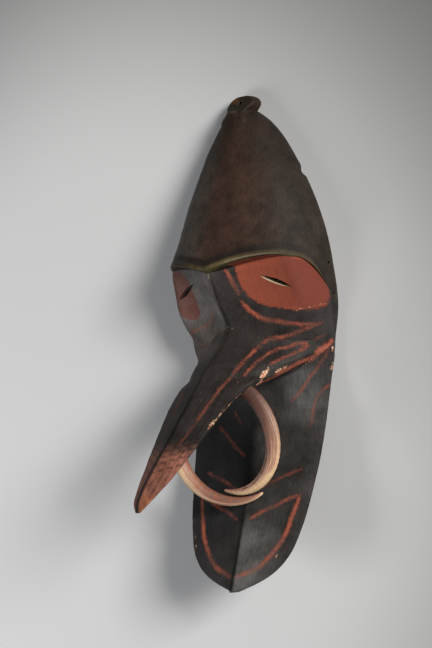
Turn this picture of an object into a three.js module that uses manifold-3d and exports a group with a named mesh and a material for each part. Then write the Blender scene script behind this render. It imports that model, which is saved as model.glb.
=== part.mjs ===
// A beaked wooden mask with two boar tusks, lying on its back with its face up.
// One carving makes the tall forehead, the arched brow, the sunken eye planes with their pierced slits,
// the long beak, the keeled lower face and the pierced hanging lug. Its back is hollowed out.
// The upper half of the rim lies flat; below the cheeks the lower face bends up towards the beak.
// Millimetres, +Z up, +Y towards the forehead. Y = 0 is the level of the beak's root until the last step,
// which sets the origin under the middle of the whole object, on the surface it lies on.
import * as THREE from "three";
import { mergeVertices } from "three/addons/utils/BufferGeometryUtils.js";
import Module from "manifold-3d";

// Outline of the mask: [height along the face, half width], from the chin to the crown.
const OUTLINE = [
  [-258, 5], [-251, 25], [-242, 43], [-226, 60], [-198, 71.5], [-161, 78.5], [-123, 83], [-60, 86.5],
  [-20, 91], [8, 93.5], [45, 91.5], [85, 85.5], [126, 72], [158, 56.5], [190, 36], [204, 22], [212, 11],
];
const CHIN_Y = OUTLINE[0][0];
const CROWN_Y = OUTLINE[OUTLINE.length - 1][0];
const EDGE_THICKNESS = 5;
const EDGE_UNDERCUT = 5;
const UNDERCUT_FADES = [-30, 20];

// The rim lies flat down to the cheeks, then the lower face curves up to the chin.
const BEND_Y = -25;
const CHIN_RISE = 72;
const BEND_POWER = 1.31;

// Forehead: a rounded half cone that flares towards the brow.
const CROWN_DEPTH = 30;
const BROW_DEPTH = 87.5;
const FLARE = 1.15;
const CROWN_FULLNESS = 2;
const BROW_FULLNESS = 2.3;
const BROW_SWELL = [-95, -54];

// Brow: an arch over each eye that meets in a point over the nose and dives along the rim.
const BROW_Y = 54;
const BROW_ARCH = 10.5;
const BROW_ARCH_AT = 0.5;
const BROW_DIVE = 46;
const BROW_DIVE_POWER = 8;
const BROW_BEVEL = 3;

// Ridge of the face under the brow: [height along the face, height over the lying surface].
const BRIDGE = [[-80, 44], [-40, 47], [0, 59], [27, 75], [53, 84]];
const KEEL = 12.5;
const KEEL_TO_BRIDGE = [-100, 0];

// Fullness of the cross-section, from the keel by the cheeks to the eyes, and where it changes.
const KEEL_FULLNESS = 1.1;
const KEEL_TO_CHEEK = [-130, -30];
const CHEEK_FULLNESS = 1.7;
const CHEEK_TO_EYE = [-30, 28];
const EYE_FULLNESS = 6;

// Eye sockets: the fall from the bridge to the sunken eye planes, and how soon it is reached.
// The bridge stays crisp; the outer corner of each eye plane is rounded over.
const SOCKET_FALL = 34;
const SOCKET_REACH = 3;
const SOCKET_EASE = [2, 12];
const SOCKET_EASE_AT = [0.1, 0.5];
const SOCKET_DEEPENS = [-35, 35];

// Eye slits, pierced through the eye planes.
const SLIT_AT = [59, 38];
const SLIT_LENGTH = 34;
const SLIT_HEIGHT = 5.2;
const SLIT_SLOPE = THREE.MathUtils.degToRad(-24);

// Beak, in level slices: [height along the face, ridge, half width, roof fall, depth below its edges, and
// the power of its roof]. A small power makes a boxy roof that drops steeply to the cheeks.
const BEAK_TIP_GATHER = 1.15;
const BEAK = [
  [12, 42, 90, 36, 4, 1], [-9, 63, 88, 57, 4, 0.95], [-30, 84, 80, 74, 8, 0.72],
  [-39, 93.5, 69, 73, 12, 0.56], [-48, 103, 56, 70, 22, 0.42], [-57, 111, 46.5, 34, 36, 0.66],
  [-66, 118.5, 40.5, 22, 30, 0.85],
  [-100, 150, 31.5, 16, 17, 0.85], [-133, 181, 22, 13.8, 10, 0.85], [-152, 197.5, 15, 10.5, 7, 0.85],
  [-163, 203, 8.5, 5, 4.5, 0.85], [-170, 204, 2.5, 1.5, 1.5, 0.85],
];

// The beak's underside: boxy where it meets the cheeks and round further out.
const BELLY_FULLNESS = [2, 4.5];
const BELLY_FILLS = [-75, -45];
const CAP_CENTRE = 0.5;

// The beak's root eases into the face over a width that grows from the nose to the cheeks.
const ROOT_EASE = [9, 20];
const ROOT_EASE_AT = 60;
const ROOT_SPREAD = 22;

// Lug at the crown, pierced for a hanging cord.
const LUG_HALF_WIDTH = 16.5;
const LUG_NECK = 10;
const LUG_THICKNESS = 13;
const LUG_ROOT_Y = 198;
const LUG_CHEEK_Y = 216.5;
const LUG_HOLE_Y = 219.5;
const LUG_SHOULDER = [8, 228];
const LUG_SWELL = 2;
const LUG_HOLE_R = 2.8;

// Hollow back, which runs out into the solid board of the lower face.
const RIM = 10;
const FOREHEAD_WALL = 16;
const FACE_WALL = 11;
const HOLLOW_END_Y = -112;
const HOLLOW_END_SLOPE = 0.55;
const WALL_THICKENS = [20, 90];
const CUT_MARGIN = 12;

// Tusks: a tapering arc, let into the beak's edge. Each is given by three points that its axis passes.
const TUSK_ROOT_R = 8.6;
const TUSK_TIP_R = 1.3;
const TUSK_TAPER = 3.2;
const TUSK_FLATNESS = 0.8;
const TUSK_SOCKET_REACH = 0.25;
const TUSKS = {
  tusk_right: [[27, -60, 81], [54, -91, 74], [-14, -160, 66.5]],
  tusk_left: [[-24, -62, 81], [-50, -131, 86], [29, -164, 58]],
};
const SOCKET_GAP = 0.35;

// Mesh density.
const ACROSS = 30;
const FACE_ROWS = 26;
const FOREHEAD_ROWS = 14;
const BEAK_SIDES = 16;
const BEAK_STEPS = 24;
const TUSK_STEPS = 26;
const TUSK_SIDES = 10;
const ARC_SEGMENTS = 5;
const TINY = 1e-3;

const wasm = await Module();
wasm.setup();

const { clamp, lerp, smoothstep } = THREE.MathUtils;

// A smooth curve through [place, value, ...] stations, as a function of the place.
function through(stations, column = 1) {
  const sorted = [...stations].sort((a, b) => a[0] - b[0]);
  const curve = new THREE.CubicInterpolant(
    sorted.map((p) => p[0]), sorted.map((p) => p[column]), 1, new Float32Array(1));
  const low = sorted[0][0];
  const high = sorted[sorted.length - 1][0];
  return (place) => curve.evaluate(clamp(place, low, high))[0];
}

const halfWidth = through(OUTLINE);
const bridge = through(BRIDGE);
const beak = [1, 2, 3, 4, 5].map((column) => through(BEAK, column));

// 0 below a range, 1 above it, eased between.
function rising(value, [low, high]) {
  return smoothstep(value, low, high);
}

// Height of the rim's back edge over the lying surface.
function rimHeight(y) {
  return CHIN_RISE * Math.max(0, (BEND_Y - y) / (BEND_Y - CHIN_Y)) ** BEND_POWER;
}

// Height of the brow's edge along the face; turn runs from -1 to 1 around the rounded front.
function browHeight(turn) {
  const around = Math.abs(turn);
  const arch = Math.sin(Math.min(1, around / BROW_ARCH_AT) * Math.PI / 2);
  return BROW_Y + BROW_ARCH * arch - BROW_DIVE * around ** BROW_DIVE_POWER;
}

// Front of the forehead; side runs from -1 to 1 across the mask.
function forehead(side, y) {
  const down = Math.max(0, (CROWN_Y - y) / (CROWN_Y - BROW_Y));
  const depth = lerp(CROWN_DEPTH, BROW_DEPTH, down ** FLARE) - EDGE_THICKNESS;
  const fullness = lerp(CROWN_FULLNESS, BROW_FULLNESS, rising(-y, BROW_SWELL));
  return EDGE_THICKNESS + depth * Math.max(0, 1 - Math.abs(side) ** fullness) ** (1 / fullness);
}

// The lower of two heights, eased where they meet.
function lowerOf(a, b, ease) {
  const near = Math.max(0, ease - Math.abs(a - b));
  return Math.min(a, b) - near * near / (4 * Math.max(ease, TINY));
}

// Front of the face under the brow: sunken eye planes, cheeks, then a shallow keel.
function face(side, y) {
  const across = Math.abs(side);
  const rim = rimHeight(y);
  const edge = rim + EDGE_THICKNESS;
  const ridge = lerp(rim + KEEL, bridge(y), rising(y, KEEL_TO_BRIDGE));
  const cheek = lerp(CHEEK_FULLNESS, EYE_FULLNESS, rising(y, CHEEK_TO_EYE));
  const fullness = lerp(KEEL_FULLNESS, cheek, rising(y, KEEL_TO_CHEEK));
  const outer = edge + (ridge - edge) * (1 - across ** fullness);
  const deep = rising(y, SOCKET_DEEPENS);
  const sunk = ridge - SOCKET_FALL * deep * (1 - Math.exp(-SOCKET_REACH * across));
  return lowerOf(outer, sunk, lerp(...SOCKET_EASE, rising(across, SOCKET_EASE_AT)) * deep);
}

// Height of the beak's roof; beyond its edges it runs on level.
function beakRoof(x, y) {
  const [ridge, half, fall, , power] = beak.map((curve) => curve(y));
  const roof = Math.max(0, 1 - Math.abs(x) / half) ** power;
  return ridge - fall * (1 - roof);
}

// What is left standing in the corner between the beak's roof and the face.
function rootFillet(x, y) {
  const out = Math.abs(x);
  const ease = lerp(...ROOT_EASE, Math.min(1, out / ROOT_EASE_AT));
  const near = Math.max(0, ease - Math.abs(beakRoof(x, y) - face(x / halfWidth(y), y)));
  const half = beak[1](y);
  return near * near / (4 * ease) * (1 - smoothstep(out, half, half + ROOT_SPREAD));
}

// Moves every corner of a three.js geometry by a rule.
function reshape(geometry, rule) {
  const place = geometry.attributes.position;
  const point = new THREE.Vector3();
  for (let i = 0; i < place.count; i += 1) {
    point.fromBufferAttribute(place, i);
    place.setXYZ(i, ...rule(point));
  }
  return geometry;
}

// A closed geometry as a solid for joining and cutting.
function solid(geometry) {
  const bare = geometry.clone();
  for (const name of Object.keys(bare.attributes)) if (name !== "position") bare.deleteAttribute(name);
  const merged = mergeVertices(bare, TINY);
  return new wasm.Manifold(new wasm.Mesh({
    numProp: 3,
    vertProperties: merged.attributes.position.array,
    triVerts: new Uint32Array(merged.index.array),
  }));
}

// A flat outline drawn up to a thickness.
function extrude(outline, depth) {
  return new THREE.ExtrudeGeometry(outline, { depth, bevelEnabled: false, curveSegments: ARC_SEGMENTS });
}

// A solid as a named mesh.
function meshOf(name, body, material) {
  const { vertProperties, triVerts } = body.getMesh();
  const geometry = new THREE.BufferGeometry();
  geometry.setAttribute("position", new THREE.BufferAttribute(new Float32Array(vertProperties), 3));
  geometry.setIndex(new THREE.BufferAttribute(new Uint32Array(triVerts), 1));
  geometry.computeVertexNormals();
  const mesh = new THREE.Mesh(geometry, material);
  mesh.name = name;
  return mesh;
}

// A block whose lower face follows the rim and whose upper face is given by a rule of side and height.
// Its rows part at the brow, so that the ledge under the brow stays crisp. It is drawn in by an inset,
// and reaches below the rim by a margin so that it can cut cleanly.
function block({ bottom, top, browShift = 0, inset = 0, margin = 0, front }) {
  const rows = FACE_ROWS + FOREHEAD_ROWS + 1;
  const box = new THREE.BoxGeometry(2, rows, 2, ACROSS, rows, 1);
  return reshape(box, (p) => {
    const side = Math.sin(p.x * Math.PI / 2);
    const row = Math.round(p.y + rows / 2);
    const brow = browHeight(p.x) + browShift;
    const inForehead = row > FACE_ROWS;
    const y = inForehead
      ? lerp(brow, top, (row - FACE_ROWS - 1) / FOREHEAD_ROWS)
      : lerp(bottom, brow - BROW_BEVEL, row / FACE_ROWS);
    const half = halfWidth(y) - inset;
    const under = rimHeight(y) - margin;
    const undercut = inset ? 0 : EDGE_UNDERCUT * (1 - rising(y, UNDERCUT_FADES));
    if (p.z < 0) return [side * Math.max(half - undercut, 1), y, under];
    return [side * half, y, Math.max(front(side, y, inForehead), under + 1)];
  });
}

// The plain front, which the hollow follows.
function frontAt(side, y, inForehead) {
  return inForehead ? forehead(side, y) : face(side, y);
}

// The carved front, with the beak's root eased into it.
function carvedAt(side, y, inForehead) {
  return frontAt(side, y, inForehead) + (inForehead ? 0 : rootFillet(side * halfWidth(y), y));
}

// The roof of the hollow, a wall's thickness behind the front, sloping out at its lower end.
function hollowAt(side, y, inForehead) {
  const wall = lerp(FACE_WALL, FOREHEAD_WALL, rising(y, WALL_THICKENS));
  const end = rimHeight(y) + (y - HOLLOW_END_Y) * HOLLOW_END_SLOPE;
  return Math.min(frontAt(side, y, inForehead) - wall, end);
}

// The beak: level slices with a ridge, two edges and a rounded underside.
function beakGeometry() {
  const top = BEAK[0][0];
  const tip = BEAK[BEAK.length - 1][0];
  const tube = new THREE.CylinderGeometry(1, 1, BEAK_STEPS, BEAK_SIDES, BEAK_STEPS);
  return reshape(tube, (p) => {
    const along = (p.y + BEAK_STEPS / 2) / BEAK_STEPS;
    const y = lerp(tip, top, along ** BEAK_TIP_GATHER);
    const [ridge, half, fall, depth] = beak.map((curve) => curve(y));
    const edges = ridge - fall;
    const x = half * p.x;
    const atCap = Math.hypot(p.x, p.z) < CAP_CENTRE;
    if (atCap) return [x, y, edges];
    const full = lerp(...BELLY_FULLNESS, rising(y, BELLY_FILLS));
    if (p.z < -TINY) return [x, y, edges - depth * (1 - Math.abs(p.x) ** full) ** (1 / full)];
    return [x, y, beakRoof(x, y) + rootFillet(x, y)];
  });
}

// The lug: a rounded head on a narrower neck, pierced through.
function lugSolid() {
  const [shoulderX, shoulderY] = LUG_SHOULDER;
  const outline = new THREE.Shape();
  outline.moveTo(-LUG_NECK, LUG_ROOT_Y);
  outline.lineTo(LUG_NECK, LUG_ROOT_Y);
  outline.lineTo(LUG_NECK, CROWN_Y);
  outline.lineTo(LUG_HALF_WIDTH, LUG_CHEEK_Y);
  outline.quadraticCurveTo(LUG_HALF_WIDTH + LUG_SWELL, LUG_HOLE_Y + LUG_SWELL, shoulderX, shoulderY);
  outline.quadraticCurveTo(0, shoulderY + LUG_SWELL, -shoulderX, shoulderY);
  outline.quadraticCurveTo(-LUG_HALF_WIDTH - LUG_SWELL, LUG_HOLE_Y + LUG_SWELL, -LUG_HALF_WIDTH, LUG_CHEEK_Y);
  outline.lineTo(-LUG_NECK, CROWN_Y);
  const hole = new THREE.Path();
  hole.absarc(0, LUG_HOLE_Y, LUG_HOLE_R, 0, Math.PI * 2);
  outline.holes.push(hole);
  return solid(extrude(outline, LUG_THICKNESS));
}

// A lens-shaped cutter that pierces one eye plane from front to back.
function slitSolid(sign) {
  const half = SLIT_LENGTH / 2;
  const lens = new THREE.Shape();
  lens.moveTo(-half, 0);
  lens.quadraticCurveTo(0, -SLIT_HEIGHT, half, 0);
  lens.quadraticCurveTo(0, SLIT_HEIGHT, -half, 0);
  const cutter = extrude(lens, BROW_DEPTH + CUT_MARGIN);
  cutter.rotateZ(sign * SLIT_SLOPE);
  cutter.translate(sign * SLIT_AT[0], SLIT_AT[1], -CUT_MARGIN);
  return solid(cutter);
}

// The circle through three points: its centre, radius, two axes and the angle it sweeps.
function arcThrough(points) {
  const [a, b, c] = points.map((p) => new THREE.Vector3(...p));
  const normal = new THREE.Vector3().crossVectors(b.clone().sub(a), c.clone().sub(a));
  const toB = b.clone().sub(a);
  const toC = c.clone().sub(a);
  const centre = new THREE.Vector3()
    .add(normal.clone().cross(toB).multiplyScalar(toC.lengthSq()))
    .add(toC.clone().cross(normal).multiplyScalar(toB.lengthSq()))
    .divideScalar(2 * normal.lengthSq())
    .add(a);
  const start = a.clone().sub(centre);
  const radius = start.length();
  start.normalize();
  const ahead = normal.clone().normalize().cross(start);
  const end = c.clone().sub(centre);
  const turned = Math.atan2(end.dot(ahead), end.dot(start));
  const sweep = turned > 0 ? turned : turned + Math.PI * 2;
  return { centre, radius, start, ahead, normal: normal.normalize(), sweep };
}

// A tusk, or with a gap and a shorter reach, the socket that its root sits in.
function tuskGeometry(points, gap = 0, reach = 1) {
  const arc = arcThrough(points);
  const steps = Math.ceil(TUSK_STEPS * reach);
  const tube = new THREE.CylinderGeometry(1, 1, steps, TUSK_SIDES, steps);
  return reshape(tube, (p) => {
    const along = (0.5 - p.y / steps) * reach;
    const lead = along === 0 ? gap / arc.radius : 0;
    const angle = arc.sweep * along - lead;
    const taper = lerp(TUSK_ROOT_R, TUSK_TIP_R, along ** TUSK_TAPER) + gap;
    const out = arc.start.clone().multiplyScalar(Math.cos(angle)).addScaledVector(arc.ahead, Math.sin(angle));
    const point = arc.centre.clone().addScaledVector(out, arc.radius + p.x * taper);
    return point.addScaledVector(arc.normal, -p.z * taper * TUSK_FLATNESS);
  });
}

const wood = new THREE.MeshStandardMaterial({ color: "#2b2522", roughness: 0.72, metalness: 0 });
const ivory = new THREE.MeshStandardMaterial({ color: "#a98463", roughness: 0.5, metalness: 0 });

const carved = solid(block({ bottom: CHIN_Y, top: CROWN_Y, front: carvedAt }));
const hollow = solid(block({
  bottom: HOLLOW_END_Y - CUT_MARGIN,
  top: CROWN_Y - 2 * RIM,
  browShift: FACE_WALL,
  inset: RIM,
  margin: CUT_MARGIN,
  front: hollowAt,
}));
let carving = carved.add(solid(beakGeometry())).subtract(hollow).add(lugSolid());
for (const sign of [-1, 1]) carving = carving.subtract(slitSolid(sign));
for (const points of Object.values(TUSKS)) {
  carving = carving.subtract(solid(tuskGeometry(points, SOCKET_GAP, TUSK_SOCKET_REACH)));
}

const part = new THREE.Group();
part.add(meshOf("mask_body", carving, wood));
for (const [name, points] of Object.entries(TUSKS)) {
  part.add(meshOf(name, solid(tuskGeometry(points)), ivory));
}

// The origin: under the middle of the object's box, on the surface it lies on.
const box = new THREE.Box3().setFromObject(part);
const middle = box.getCenter(new THREE.Vector3());
part.children.forEach((mesh) => mesh.geometry.translate(-middle.x, -middle.y, -box.min.z));

export default part;
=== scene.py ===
# A beaked wooden mask with two boar tusks. It lies on its back on a pale sheet, its face turned up.
# The script follows the carver: body, paint, tusks, then the sheet, the camera and the light.
import math

import bpy
import numpy as np
from mathutils import Matrix, Vector, kdtree


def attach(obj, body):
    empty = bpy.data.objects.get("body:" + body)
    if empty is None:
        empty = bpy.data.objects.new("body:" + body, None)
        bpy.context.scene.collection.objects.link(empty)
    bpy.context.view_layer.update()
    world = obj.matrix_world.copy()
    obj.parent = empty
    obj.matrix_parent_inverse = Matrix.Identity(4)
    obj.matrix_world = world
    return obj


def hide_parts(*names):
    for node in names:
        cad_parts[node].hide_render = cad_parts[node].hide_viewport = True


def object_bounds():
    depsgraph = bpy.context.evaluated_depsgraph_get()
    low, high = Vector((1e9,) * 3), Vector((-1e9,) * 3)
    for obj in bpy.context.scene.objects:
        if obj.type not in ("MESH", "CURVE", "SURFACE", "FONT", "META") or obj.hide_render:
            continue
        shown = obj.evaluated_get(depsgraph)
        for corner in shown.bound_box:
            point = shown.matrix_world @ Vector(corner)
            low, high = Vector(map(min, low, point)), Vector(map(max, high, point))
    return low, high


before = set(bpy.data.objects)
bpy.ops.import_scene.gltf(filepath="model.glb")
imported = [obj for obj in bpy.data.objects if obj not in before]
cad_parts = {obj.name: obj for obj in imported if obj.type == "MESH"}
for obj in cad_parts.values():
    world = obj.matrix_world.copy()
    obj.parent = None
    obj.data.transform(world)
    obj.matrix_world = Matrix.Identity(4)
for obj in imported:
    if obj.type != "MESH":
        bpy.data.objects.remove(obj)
CAD_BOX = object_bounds()

# The body: one log of light wood, adzed and scraped into a tall forehead, sunken eye planes, a long beak and
# a keeled lower face. It starts as a block whose front and rim are carved away by rule.
# Sizes are millimetres on the face: X across, Y up from the beak's root, Z out of the face.
MM = 0.001
OUTLINE = [
    (-258, 5), (-251, 25), (-242, 43), (-226, 60), (-198, 71.5), (-161, 78.5), (-123, 83), (-60, 86.5),
    (-20, 91), (8, 93.5), (45, 91.5), (85, 85.5), (126, 72), (158, 56.5), (190, 36), (204, 22), (212, 11),
]
CHIN_Y = OUTLINE[0][0]
CROWN_Y = OUTLINE[-1][0]
ROW_SHIFT = CAD_BOX[0].y / MM - CHIN_Y
EDGE_THICKNESS = 5
EDGE_UNDERCUT = 5
UNDERCUT_FADES = (-30, 20)
BEND_Y = -25
CHIN_RISE = 72
BEND_POWER = 1.31
CROWN_DEPTH = 30
BROW_DEPTH = 87.5
FLARE = 1.15
CROWN_FULLNESS = 2
BROW_FULLNESS = 2.3
BROW_SWELL = (54, 95)
BROW_Y = 54
BROW_ARCH = 10.5
BROW_ARCH_AT = 0.5
BROW_DIVE = 46
BROW_DIVE_POWER = 8
BROW_BEVEL = 3
LIP_HEIGHT = 1.3
LIP_FADES = (3, 6.5)
LIP_SIDE_POWER = 4
BRIDGE = [(-80, 44), (-40, 47), (0, 59), (27, 75), (53, 84)]
KEEL = 12.5
KEEL_TO_BRIDGE = (-100, 0)
KEEL_FULLNESS = 1.1
KEEL_TO_CHEEK = (-130, -30)
CHEEK_FULLNESS = 1.7
CHEEK_TO_EYE = (-30, 28)
EYE_FULLNESS = 6
SOCKET_FALL = 34
SOCKET_REACH = 3
SOCKET_EASE = (2, 12)
SOCKET_EASE_AT = (0.1, 0.5)
SOCKET_DEEPENS = (-35, 35)
BODY_GRID = {"across": 150, "face": 150, "ledge": 6, "forehead": 90}
ROWS_GATHER = 1.4
LEAST_WOOD = 1
TINY = 1e-3


def lerp(low, high, t):
    return low + (high - low) * t


def rising(value, span):
    """0 below a span, 1 above it, eased between."""
    t = np.clip((value - span[0]) / (span[1] - span[0]), 0, 1)
    return t * t * (3 - 2 * t)


def fading(value, span):
    """1 below a span, 0 above it, eased between."""
    return 1 - rising(value, span)


def through(stations, column=1):
    """A smooth curve through stations (place, value, ...), as a function of the place."""
    stations = np.array(sorted(stations), float)
    place = stations[:, 0]
    value = stations[:, column]
    chord = np.diff(value) / np.diff(place)
    slope = np.concatenate([chord[:1], (chord[1:] + chord[:-1]) / 2, chord[-1:]])

    def at(where):
        where = np.clip(where, place[0], place[-1])
        i = np.clip(np.searchsorted(place, where) - 1, 0, len(chord) - 1)
        step = place[i + 1] - place[i]
        t = (where - place[i]) / step
        ahead = t * t * (3 - 2 * t)
        leaving = slope[i] * step * t * (1 - t) ** 2
        arriving = slope[i + 1] * step * t * t * (1 - t)
        return lerp(value[i], value[i + 1], ahead) + leaving - arriving

    return at


half_width = through(OUTLINE)
bridge = through(BRIDGE)


def rim_height(y):
    return CHIN_RISE * np.maximum(0, (BEND_Y - y) / (BEND_Y - CHIN_Y)) ** BEND_POWER


def brow_height(turn):
    """Height of the brow's edge; turn runs from -1 to 1 around the rounded front."""
    around = np.abs(turn)
    arch = np.sin(np.minimum(1, around / BROW_ARCH_AT) * math.pi / 2)
    return BROW_Y + BROW_ARCH * arch - BROW_DIVE * around ** BROW_DIVE_POWER


def forehead(side, y):
    down = np.maximum(0, (CROWN_Y - y) / (CROWN_Y - BROW_Y))
    depth = lerp(CROWN_DEPTH, BROW_DEPTH, down ** FLARE) - EDGE_THICKNESS
    fullness = lerp(BROW_FULLNESS, CROWN_FULLNESS, rising(y, BROW_SWELL))
    return EDGE_THICKNESS + depth * np.maximum(0, 1 - np.abs(side) ** fullness) ** (1 / fullness)


def face(side, y):
    across = np.abs(side)
    rim = rim_height(y)
    edge = rim + EDGE_THICKNESS
    ridge = lerp(rim + KEEL, bridge(y), rising(y, KEEL_TO_BRIDGE))
    cheek = lerp(CHEEK_FULLNESS, EYE_FULLNESS, rising(y, CHEEK_TO_EYE))
    fullness = lerp(KEEL_FULLNESS, cheek, rising(y, KEEL_TO_CHEEK))
    outer = edge + (ridge - edge) * (1 - across ** fullness)
    deep = rising(y, SOCKET_DEEPENS)
    sunk = ridge - SOCKET_FALL * deep * (1 - np.exp(-SOCKET_REACH * across))
    ease = lerp(*SOCKET_EASE, rising(across, SOCKET_EASE_AT)) * deep
    near = np.maximum(0, ease - np.abs(outer - sunk))
    return np.minimum(outer, sunk) - near * near / (4 * np.maximum(ease, TINY))


# Each slice of the beak: its Y, the ridge's height, its half width, its fall to the edges, its depth below
# them and the power of its roof.
BEAK = [
    (12, 42, 90, 36, 4, 1), (-9, 63, 88, 57, 4, 0.95), (-30, 84, 80, 74, 8, 0.72),
    (-39, 93.5, 69, 73, 12, 0.56), (-48, 103, 56, 70, 22, 0.42), (-57, 111, 46.5, 34, 36, 0.66),
    (-66, 118.5, 40.5, 22, 30, 0.85),
    (-100, 150, 31.5, 16, 17, 0.85), (-133, 181, 22, 13.8, 10, 0.85), (-152, 197.5, 15, 10.5, 7, 0.85),
    (-163, 203, 8.5, 5, 4.5, 0.85), (-170, 204, 2.5, 1.5, 1.5, 0.85),
]
ROOT_EASE = (9, 20)
ROOT_EASE_AT = 60
ROOT_SPREAD = 22
beak_ridge, beak_half, beak_fall, beak_depth, beak_power = (through(BEAK, column) for column in range(1, 6))


def beak_roof(x, y):
    """Height of the beak's roof; beyond its edges it runs on level."""
    roof = np.maximum(0, 1 - np.abs(x / beak_half(y))) ** beak_power(y)
    return beak_ridge(y) - beak_fall(y) * (1 - roof)


def root_fillet(x, y):
    """What is left standing in the corner between the beak's roof and the face."""
    out = np.abs(x)
    ease = lerp(*ROOT_EASE, np.minimum(1, out / ROOT_EASE_AT))
    near = np.maximum(0, ease - np.abs(beak_roof(x, y) - face(x / half_width(y), y)))
    half = beak_half(y)
    return near * near / (4 * ease) * fading(out, (half, half + ROOT_SPREAD))


def select_only(piece):
    bpy.ops.object.select_all(action="DESELECT")
    piece.select_set(True)
    bpy.context.view_layer.objects.active = piece


def points_of(piece):
    """The piece's corners in millimetres on the face."""
    flat = np.empty(len(piece.data.vertices) * 3)
    piece.data.vertices.foreach_get("co", flat)
    return flat.reshape(-1, 3) / MM - (0, ROW_SHIFT, 0)


def place_points(piece, points):
    """Moves the piece's corners to millimetres on the face."""
    piece.data.vertices.foreach_set("co", ((points + (0, ROW_SHIFT, 0)) * MM).ravel())
    piece.data.update()


def face_outwards(piece):
    select_only(piece)
    bpy.ops.object.mode_set(mode="EDIT")
    bpy.ops.mesh.select_all(action="SELECT")
    bpy.ops.mesh.normals_make_consistent(inside=False)
    bpy.ops.object.mode_set(mode="OBJECT")


def block(name, material, grid, bottom, top, wall=None, brow_shift=0, inset=0, margin=0):
    """A block between the rim and the carved front, or a wall's thickness behind it for the hollow."""
    rows = grid["face"] + grid["ledge"] + grid["forehead"]
    bpy.ops.object.select_all(action="DESELECT")
    bpy.ops.mesh.primitive_grid_add(x_subdivisions=grid["across"], y_subdivisions=rows, size=2)
    piece = bpy.context.object
    piece.name = name
    piece.data.materials.append(material)
    bpy.ops.object.mode_set(mode="EDIT")
    bpy.ops.mesh.select_all(action="SELECT")
    bpy.ops.mesh.extrude_region_move(TRANSFORM_OT_translate={"value": (0, 0, 1)})
    bpy.ops.object.mode_set(mode="OBJECT")
    start = np.array([v.co for v in piece.data.vertices])
    turn = start[:, 0]
    side = np.sin(turn * math.pi / 2)
    row = np.round((start[:, 1] + 1) / 2 * rows)
    brow = brow_height(turn) + brow_shift
    ledge = np.clip((row - grid["face"]) / grid["ledge"], 0, 1)
    up = np.clip((row - grid["face"] - grid["ledge"]) / grid["forehead"], 0, 1) ** ROWS_GATHER
    low_y = lerp(bottom, brow - BROW_BEVEL, np.minimum(1, row / grid["face"]))
    high_y = lerp(brow, top, up)
    y = np.where(row <= grid["face"], low_y, np.where(ledge < 1, lerp(low_y, brow, ledge), high_y))
    lip = LIP_HEIGHT * fading(high_y - brow, LIP_FADES) * (1 - side ** LIP_SIDE_POWER)
    low_z = face(side, low_y) + (0 if wall else root_fillet(side * half_width(low_y), low_y))
    high_z = forehead(side, high_y) + (0 if wall else lip)
    z = lerp(low_z, high_z, 1 - (1 - ledge) ** 2)
    if wall:
        end = rim_height(y) + (y - HOLLOW_END_Y) * HOLLOW_END_SLOPE
        z = np.minimum(z - wall(y), end)
    half = half_width(y) - inset
    under = rim_height(y) - margin
    undercut = 0 if wall else EDGE_UNDERCUT * fading(y, UNDERCUT_FADES)
    front = start[:, 2] > 0.5
    x = side * np.where(front, half, np.maximum(half - undercut, LEAST_WOOD))
    height = np.where(front, np.maximum(z, under + LEAST_WOOD), under)
    place_points(piece, np.stack([x, y, height], axis=1))
    face_outwards(piece)
    return piece


painted_wood = bpy.data.materials.new("soot_blackened_wood_with_red_ochre")
mask_body = block("mask_body_carving", painted_wood, BODY_GRID, CHIN_Y, CROWN_Y)

# The hollow: the back of the log is dug out with a curved adze to a wall of even thickness, and left bare.
# Bare wood is pale brown with fine grain along the log, darkened by sweat and dust.
RIM = 10
FOREHEAD_WALL = 16
FACE_WALL = 11
HOLLOW_END_Y = -112
HOLLOW_END_SLOPE = 0.55
WALL_THICKENS = (20, 90)
CUT_MARGIN = 12
HOLLOW_GRID = {"across": 64, "face": 70, "ledge": 2, "forehead": 40}
GRAIN_WIDTH = 1.5
GRAIN_LENGTH = 40
GRAIN_SCALE = (1 / GRAIN_WIDTH / MM, 1 / GRAIN_LENGTH / MM, 1 / GRAIN_WIDTH / MM)
DIRT_PATCH = 24
BARE_ROUGHNESS = 0.8
FINISH_IOR = 1.5
ADZED = ("#8a6c50", "#4a3a2d")
# A Mix node's two colour inputs, by number, and its settings for mixing colours.
MIX_A = 6
MIX_B = 7
MIX = {"out": 2, "data_type": "RGBA"}


def linear(hex_colour):
    """An sRGB hex colour as linear RGBA."""
    parts = [int(hex_colour[i:i + 2], 16) / 255 for i in (1, 3, 5)]
    return (*[p / 12.92 if p <= 0.04045 else ((p + 0.055) / 1.055) ** 2.4 for p in parts], 1)


def add(tree, kind, inputs=(), out=0, **settings):
    """Adds a node with its settings and links, and gives one of its outputs."""
    made = tree.nodes.new(kind)
    for name, value in settings.items():
        setattr(made, name, value)
    for socket, value in dict(inputs).items():
        if isinstance(value, bpy.types.NodeSocket):
            tree.links.new(value, made.inputs[socket])
        else:
            made.inputs[socket].default_value = value
    return made.outputs[out]


def finish_named(name, roughness):
    """A new material, its nodes and its shader."""
    material = bpy.data.materials.new(name)
    material.use_nodes = True
    shader = material.node_tree.nodes["Principled BSDF"]
    shader.inputs["IOR"].default_value = FINISH_IOR
    shader.inputs["Roughness"].default_value = roughness
    return material, material.node_tree, shader


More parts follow.
